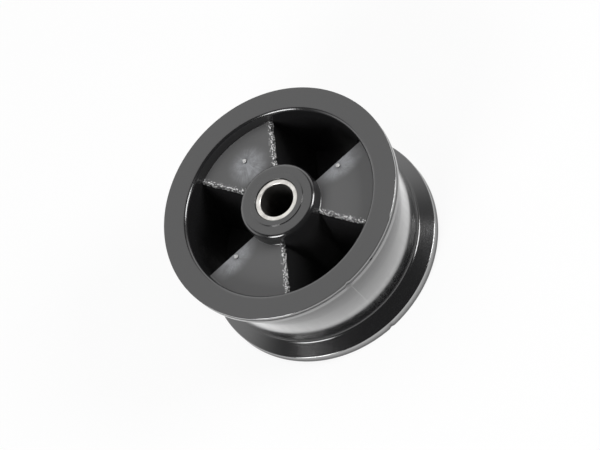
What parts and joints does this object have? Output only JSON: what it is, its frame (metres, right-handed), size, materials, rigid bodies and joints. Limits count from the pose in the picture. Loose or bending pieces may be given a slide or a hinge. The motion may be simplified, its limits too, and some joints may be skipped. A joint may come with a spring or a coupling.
{
  "type": "belt tensioner pulley",
  "caption": "Flanged belt tensioner pulley: moulded black wheel with a crowned belt track, webs set alternately near each face, and a pressed-in metal bearing sleeve that runs on a stud.",
  "frame": {"origin": "on the bore axis, in the plane of the rear flange face that the pulley lies on", "axes": "+Z along the bore axis towards the front face, +X through the middle of a front pocket"},
  "size_m": [0.068, 0.068, 0.0333],
  "materials": {
    "black_plastic": "satin black moulded plastic, glossier on the belt track",
    "bright_steel": "bright turned steel"
  },
  "bodies": {
    "root": {"pulley_wheel": "black_plastic", "bearing_sleeve": "bright_steel"}
  },
  "joints": []
}
